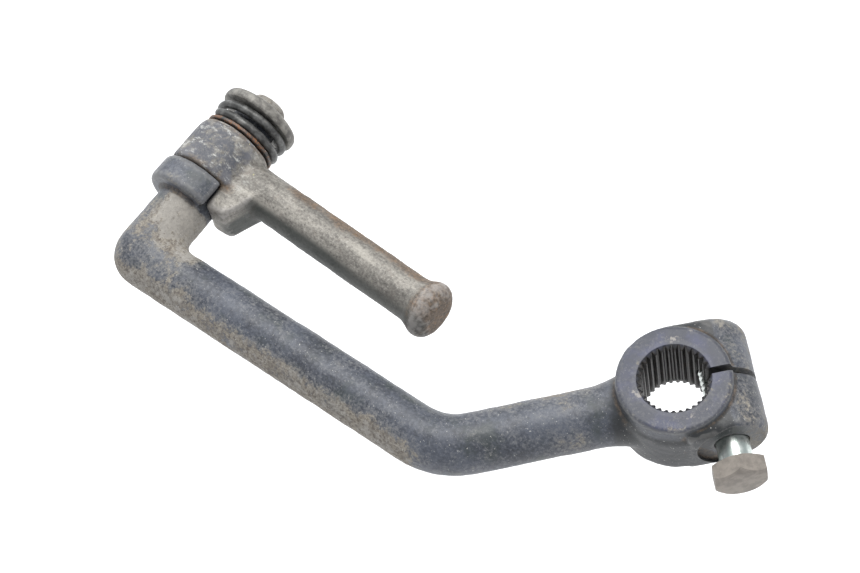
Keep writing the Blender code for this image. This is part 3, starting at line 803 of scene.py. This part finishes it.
# ---------------------------------------------------------------- foot pedal
def tread_shell():
    """The round bar under the foot, flared and domed at its tip."""
    flare_start, dome_start = TREAD_LENGTH - 5.4, TREAD_LENGTH - 0.8
    profile = [(TREAD_RADIUS, 5.0), (TREAD_RADIUS, flare_start)]
    for i in range(1, 11):
        share = i / 10
        eased = share * share * (3 - 2 * share)
        profile.append((TREAD_RADIUS + TREAD_FLARE * eased, flare_start + 4.6 * share))
    for i in range(1, 11):
        turn = math.radians(90) * i / 10
        radius = (TREAD_RADIUS + TREAD_FLARE) * (1 - 0.52 * (1 - math.cos(turn)))
        profile.append((radius, dome_start + 3.4 * math.sin(turn)))
    turn = Matrix.Rotation(-TILT, 4, "Z") @ Matrix.Rotation(math.radians(90), 4, "Y")
    return moved(turned(profile, 72), Matrix.Translation((PIVOT_X, TREAD_Y, LEVEL)) @ turn)


def lug_shell():
    """The block under the hub that meets the collar's ends."""
    inner, foot_end, outer = 6.5, 12.6, 17.0
    foot, top = HUB_FOOT - 6.6, HUB_FOOT + 7
    shoulder = TREAD_Y - 2.9
    side = [(inner, foot), (foot_end, foot), (outer, shoulder), (outer, top), (inner, top)]
    return moved(bevelled(prism(side, -6.8, 5.9), 1.5, 4), PIVOT_PLACE)


def hub_shell():
    """The barrel that turns on the journal, narrower towards the washer."""
    profile = [(9.9, HUB_FOOT), (HUB_RADIUS, HUB_FOOT + 0.6), (HUB_RADIUS, HUB_TOP - 2.1)]
    profile += [(9.9, HUB_TOP - 0.7), (9.2, HUB_TOP)]
    return moved(turned(profile, 96), PIVOT_FRAME)


def make_pedal(finish):
    shells = [hub_shell(), tread_shell(), lug_shell()]
    pedal = remeshed(as_object("folding_pedal", shells), 0.36)

    def web(points):
        """Most where the hub, the lug and the tread meet."""
        meeting = np.array([PIVOT_X + 13, HUB_FOOT + 4, LEVEL])
        near = np.linalg.norm(points - meeting, axis=1)
        end_faces = (np.abs(points[:, 1] - HUB_TOP) < 2.0) & (points[:, 0] < PIVOT_X + 10.5)
        seat = (points[:, 1] < HUB_FOOT + 1.0) & (points[:, 0] < PIVOT_X + 9.2)
        return np.where(end_faces | seat, 0.25, 0.35 + 0.65 * (1 - ease(near, 9, 14)))

    relax(pedal, 26, web)
    roughen(pedal, 0.09, 4.0)
    room = moved(turned([(7.5, HUB_FOOT - 9), (7.5, HUB_FOOT + 0.3)], 96), PIVOT_FRAME)
    bore_radius = JOURNAL + CLEARANCE
    bore = turned([(bore_radius, HUB_FOOT - 2), (bore_radius, HUB_TOP + 2)], 96)
    cut(pedal, [room, moved(bore, PIVOT_FRAME)])
    points = coordinates(pedal.data) / MM
    x, y, z = points.T
    along = x - PIVOT_X
    on_hub = 1 - ease(along, 7, 15)
    wander = fractal(points, 9, 3) * 0.15
    painted = on_hub * ease(y, HUB_FOOT - 1.2, HUB_FOOT + 0.6)
    note(pedal, "painted", np.clip(painted + wander, 0, 1))
    axis_y = TREAD_Y - along * math.tan(TILT)
    far_side = ease(y - axis_y, 0.2, 4.2) * ease(along, 14, 24)
    tip = ease(along, TREAD_LENGTH - 7, TREAD_LENGTH - 1)
    from_ends = np.minimum(np.abs(y - HUB_FOOT), np.abs(y - HUB_TOP))
    hub_ends = on_hub * (1 - ease(from_ends, 0.8, 2.4))
    rusty = np.maximum.reduce([far_side * 0.8, tip * 0.9, hub_ends * 0.8]) + wander
    note(pedal, "rusty", np.clip(rusty, 0, 1))
    # Painted shade: the 'dark' mask marks the tread's near side and the part under the lug.
    near_side = ease(axis_y - y, 2.5, 5.5) * ease(along, 12, 18) * (1 - 0.35 * ease(along, 34, 52))
    under_lug = (1 - on_hub) * (1 - ease(along, 17, 19)) * (1 - ease(z, LEVEL - 1, LEVEL + 4))
    note(pedal, "dark", np.clip(np.maximum(near_side, under_lug) + wander * 0.5, 0, 1))
    note_edges(pedal, 12, 0.16)
    return complete(pedal, finish, "pedal", "foot_pedal")


# ---------------------------------------------------------------- Geometry Nodes
class Growth:
    """One Geometry Nodes tree with named sizes, which ends in Realize Instances and Set Material."""

    def __init__(self, name, sizes):
        self.tree = bpy.data.node_groups.new(name, "GeometryNodeTree")
        self.tree.interface.new_socket("Geometry", in_out="OUTPUT", socket_type="NodeSocketGeometry")
        self.tree.interface.new_socket("Geometry", in_out="INPUT", socket_type="NodeSocketGeometry")
        self.keys, self.values = {}, {}
        for label, value in sizes.items():
            kind = "NodeSocketInt" if isinstance(value, int) else "NodeSocketFloat"
            socket = self.tree.interface.new_socket(label, in_out="INPUT", socket_type=kind)
            self.keys[label], self.values[label] = socket.identifier, value
        self.start = self.tree.nodes.new("NodeGroupInput")

    def size(self, label):
        return self.start.outputs[label]

    def add(self, kind, settings=None, sockets=None, out=0):
        node = self.tree.nodes.new(kind)
        for key, value in (settings or {}).items():
            setattr(node, key, value)
        for key, value in (sockets or {}).items():
            if isinstance(value, bpy.types.NodeSocket):
                self.tree.links.new(value, node.inputs[key])
            else:
                node.inputs[key].default_value = value
        return node.outputs[out]

    def math(self, operation, first, second=0.0):
        return self.add("ShaderNodeMath", {"operation": operation}, {0: first, 1: second})

    def grow(self, name, geometry, finish):
        """Runs the tree on a new object and returns the object with its plain mesh."""
        real = self.add("GeometryNodeRealizeInstances", None, {"Geometry": geometry})
        dressed = self.add("GeometryNodeSetMaterial", None, {"Geometry": real, "Material": finish})
        self.tree.links.new(dressed, self.tree.nodes.new("NodeGroupOutput").inputs[0])
        obj = bpy.data.objects.new(name, bpy.data.meshes.new(name))
        bpy.context.scene.collection.objects.link(obj)
        step = obj.modifiers.new("growth", "NODES")
        step.node_group = self.tree
        for label, key in self.keys.items():
            step[key] = self.values[label]
        return settle(obj)


def wound_spring(finish):
    """About a turn and a half of wire, its ends cut square."""
    sizes = {
        "Mean Radius": COIL_RADIUS * MM,
        "Wire Radius": WIRE / 2 * MM,
        "Rise": SPRING_RISE * MM,
        "Turns": COIL_TURNS,
        "Steps": 120,
    }
    g = Growth("wound_spring", sizes)
    path = g.add(
        "GeometryNodeCurveSpiral", None,
        {
            "Resolution": g.size("Steps"), "Rotations": g.size("Turns"), "Height": g.size("Rise"),
            "Start Radius": g.size("Mean Radius"), "End Radius": g.size("Mean Radius"), "Reverse": True,
        },
    )
    where = g.add("GeometryNodeInputPosition")
    parts = g.add("ShaderNodeSeparateXYZ", None, {0: where})
    share = g.math("DIVIDE", parts.node.outputs[2], g.size("Rise"))
    eased = g.add(
        "ShaderNodeMapRange",
        {"interpolation_type": "SMOOTHERSTEP"},
        {"Value": share, "To Max": g.size("Rise")},
    )
    flat_ends = g.add("ShaderNodeCombineXYZ", None, {0: parts, 1: parts.node.outputs[1], 2: eased})
    path = g.add("GeometryNodeSetPosition", None, {"Geometry": path, "Position": flat_ends})
    wire = g.add(
        "GeometryNodeCurvePrimitiveCircle", None, {"Resolution": 20, "Radius": g.size("Wire Radius")}
    )
    solid = g.add(
        "GeometryNodeCurveToMesh", None, {"Curve": path, "Profile Curve": wire, "Fill Caps": True}
    )
    coil = g.grow("wound_spring", solid, finish)
    lift = Matrix.Translation((0, 0, (SPRING_FOOT + WIRE / 2) * MM))
    start = Matrix.Rotation(COIL_START, 4, "Z")
    coil.data.transform(in_metres(PIVOT_FRAME) @ (lift @ start))
    return coil


def threaded_shank(finish):
    """The bolt's shank: plain under the head, then a thread whose crests run round in a helix."""
    sizes = {
        "Radius": BOLT_RADIUS * MM,
        "Length": SHANK_LENGTH * MM,
        "Plain Length": 6.5 * MM,
        "Pitch": 1.25 * MM,
        "Depth": 0.55 * MM,
        "Tip Length": 0.9 * MM,
        "Tip Depth": 0.6 * MM,
        "Sides": 64,
        "Rings": 241,
    }
    g = Growth("threaded_shank", sizes)
    grid = g.add(
        "GeometryNodeMeshCylinder", {"fill_type": "NGON"},
        {
            "Vertices": g.size("Sides"), "Side Segments": g.size("Rings"),
            "Radius": g.size("Radius"), "Depth": g.size("Length"),
        },
    )
    where = g.add("GeometryNodeInputPosition")
    parts = g.add("ShaderNodeSeparateXYZ", None, {0: where})
    x, y, z = parts, parts.node.outputs[1], parts.node.outputs[2]
    angle = g.math("DIVIDE", g.math("ARCTAN2", y, x), 2 * math.pi)
    turns = g.math("SUBTRACT", g.math("DIVIDE", z, g.size("Pitch")), angle)
    off_crest = g.math("SUBTRACT", g.math("FRACT", turns), 0.5)
    wave = g.math("MULTIPLY", g.math("ABSOLUTE", off_crest), 2.0)
    from_head = g.math("SUBTRACT", g.math("DIVIDE", g.size("Length"), 2.0), z)
    full_depth = g.math("ADD", g.size("Plain Length"), g.size("Pitch"))
    fade = g.add(
        "ShaderNodeMapRange", None,
        {"Value": from_head, "From Min": g.size("Plain Length"), "From Max": full_depth},
    )
    from_tip = g.math("SUBTRACT", g.size("Length"), from_head)
    taper = g.add(
        "ShaderNodeMapRange", None,
        {"Value": from_tip, "From Min": 0.0, "From Max": g.size("Tip Length"), "To Min": 1.0, "To Max": 0.0},
    )
    sunk = g.math("MULTIPLY", g.math("MULTIPLY", wave, g.size("Depth")), fade)
    sunk = g.math("ADD", sunk, g.math("MULTIPLY", taper, g.size("Tip Depth")))
    shrink = g.math("DIVIDE", g.math("SUBTRACT", g.size("Radius"), sunk), g.size("Radius"))
    across = {0: g.math("MULTIPLY", x, shrink), 1: g.math("MULTIPLY", y, shrink), 2: z}
    cut_in = g.add("ShaderNodeCombineXYZ", None, across)
    solid = g.add("GeometryNodeSetPosition", None, {"Geometry": grid, "Position": cut_in})
    return g.grow("threaded_shank", solid, finish)


def make_bolt(finish):
    """Hexagon head with a chamfered crown and a washer face, joined to its threaded shank."""
    corner = HEAD_ACROSS / 2 / math.cos(math.radians(30))
    corners = [math.radians(60 * i + 30) for i in range(6)]
    hexagon = [(corner * math.cos(a), corner * math.sin(a)) for a in corners]
    face_top = HEAD_FOOT + 0.8
    blank = prism(hexagon, HEAD_FOOT + 0.35, HEAD_TOP)
    crown = [(5.5, HEAD_FOOT - 0.2), (6.2, HEAD_FOOT + 0.35), (7.2, face_top), (7.2, HEAD_TOP - 1.5)]
    crown += [(6.5, HEAD_TOP - 0.75), (5.55, HEAD_TOP - 0.1), (5.2, HEAD_TOP + 0.001)]
    washer_face = [(5.4, HEAD_FOOT), (5.7, HEAD_FOOT + 0.15), (5.7, face_top)]
    head = as_object("clamp_bolt_piece", [moved(blank, BOLT_FRAME)])
    envelope = as_object("crown", [moved(turned(crown, 96), BOLT_FRAME)])
    face = as_object("face", [moved(turned(washer_face, 96), BOLT_FRAME)])
    shank = threaded_shank(finish)
    centre = HEAD_FOOT + 0.4 - SHANK_LENGTH / 2
    shank.data.transform(in_metres(BOLT_FRAME @ Matrix.Translation((0, 0, centre))))
    for operation, tool in (("INTERSECT", envelope), ("UNION", face), ("UNION", shank)):
        step = head.modifiers.new("join", "BOOLEAN")
        step.operation, step.solver, step.object = operation, "MANIFOLD", tool
        settle(head)
        bpy.data.objects.remove(tool)
    bm = bmesh.new()
    bm.from_mesh(head.data)
    bmesh.ops.remove_doubles(bm, verts=bm.verts, dist=0.002 * MM)
    bmesh.ops.triangulate(bm, faces=[f for f in bm.faces if len(f.verts) > 4])
    bm.to_mesh(head.data)
    bm.free()
    points = coordinates(head.data) / MM
    depth = (points - np.array(BOLT_FRAME.translation)) @ np.array(SIDEWAYS)
    note(head, "head", ease(depth, HEAD_FOOT - 0.25, HEAD_FOOT + 0.1))
    note_edges(head, 3, 0.12)
    return complete(head, finish, "lever", "clamp_bolt")


# ---------------------------------------------------------------- stack on the journal
def make_washer(finish):
    inner, outer, edge = JOURNAL + CLEARANCE, WASHER_RADIUS, 0.2
    foot, top = WASHER_FOOT, WASHER_FOOT + 0.9
    profile = [(inner, foot), (outer - edge, foot), (outer, foot + edge)]
    profile += [(outer, top - edge), (outer - edge, top), (inner, top)]
    washer = as_object("rusty_washer", [moved(turned(profile, 96, closed=True), PIVOT_FRAME)])
    return complete(washer, finish, "lever", "thrust_washer")


def make_cap(finish):
    """The keyed disc that ends the stack, domed a little, with a rolled edge."""
    hole = circle(3.8, 0, 96, 2.9)

    def hole_ring(height):
        return [Vector((p.x, p.y, height)) for p in hole]

    profile = [(9.7, 0.0), (10.2, 0.12), (10.42, 0.4), (CAP_RADIUS, 0.8), (CAP_RADIUS, 1.5)]
    profile += [(10.35, 2.1), (10.0, 2.6), (9.4, 2.88), (8.6, CAP_THICKNESS), (5.4, CAP_THICKNESS)]
    rings = [hole_ring(CAP_FOOT)]
    rings += [circle(r, CAP_FOOT + h, 96) for r, h in profile]
    rings.append(hole_ring(CAP_TOP))
    cap = as_object("stack_cap", [moved(loft(rings, closed=True), PIVOT_FRAME)])
    return complete(cap, finish, "lever", "spring_cap")


# ---------------------------------------------------------------- camera, floor and light
def make_camera():
    """A long lens, high above the boss and looking down across the lever."""
    place = Vector((0.17016, -0.20596, 0.57541))
    forward = Vector((-0.36508, 0.30634, -0.87913)).normalized()
    up = Vector((-0.49137, 0.73866, 0.46145))
    right = forward.cross(up).normalized()
    up = right.cross(forward)
    turn = Matrix((right, up, -forward)).transposed().to_4x4()
    data = bpy.data.cameras.new("camera")
    data.lens, data.sensor_width, data.clip_start, data.clip_end = 113.32, 36.0, 0.01, 20.0
    camera = bpy.data.objects.new("camera", data)
    camera.matrix_world = Matrix.Translation(place) @ turn
    bpy.context.scene.collection.objects.link(camera)
    bpy.context.scene.camera = camera


def area_light(name, place, target, size, power, colour=(1, 1, 1)):
    data = bpy.data.lights.new(name, "AREA")
    data.shape, data.size, data.energy, data.color = "DISK", size, power, colour
    light = bpy.data.objects.new(name, data)
    aim = (Vector(target) - Vector(place)).to_track_quat("-Z", "Y")
    light.matrix_world = Matrix.Translation(place) @ aim.to_matrix().to_4x4()
    bpy.context.scene.collection.objects.link(light)


def make_studio():
    """Pale floor, two soft lights and a bright room round them."""
    bpy.ops.mesh.primitive_plane_add(size=8, location=(0, 0, FLOOR * MM))
    floor = bpy.context.object
    floor.name = "floor"
    floor.data.materials.append(studio_floor("studio_floor"))
    middle = (-0.06, -0.01, 0.0)
    area_light("overhead", (-0.15, 0.30, 1.0), middle, 0.7, 9.5, (1.0, 0.99, 0.97))
    area_light("side", (-0.8, 0.3, 0.6), middle, 0.5, 4.0, (0.96, 0.98, 1.0))
    world = bpy.data.worlds.new("soft_room")
    world.use_nodes = True
    world.node_tree.nodes["Background"].inputs["Color"].default_value = (0.94, 0.96, 1.0, 1.0)
    world.node_tree.nodes["Background"].inputs["Strength"].default_value = 0.75
    bpy.context.scene.world = world
    bpy.context.scene.view_settings.view_transform = "Standard"


def main():
    make_camera()
    make_studio()
    make_arm(worn_paint("worn_arm_paint"))
    make_pedal(worn_pedal("bare_pedal_steel"))
    make_bolt(bolt_plate("dulled_zinc"))
    make_washer(dark_spring("rusted_washer_steel", 0.45))
    coil = wound_spring(dark_spring("black_spring_steel", 0.08))
    complete(coil, coil.data.materials[0], "lever", "pedal_spring")
    make_cap(dull_cap("oxidised_cap_steel"))


main()
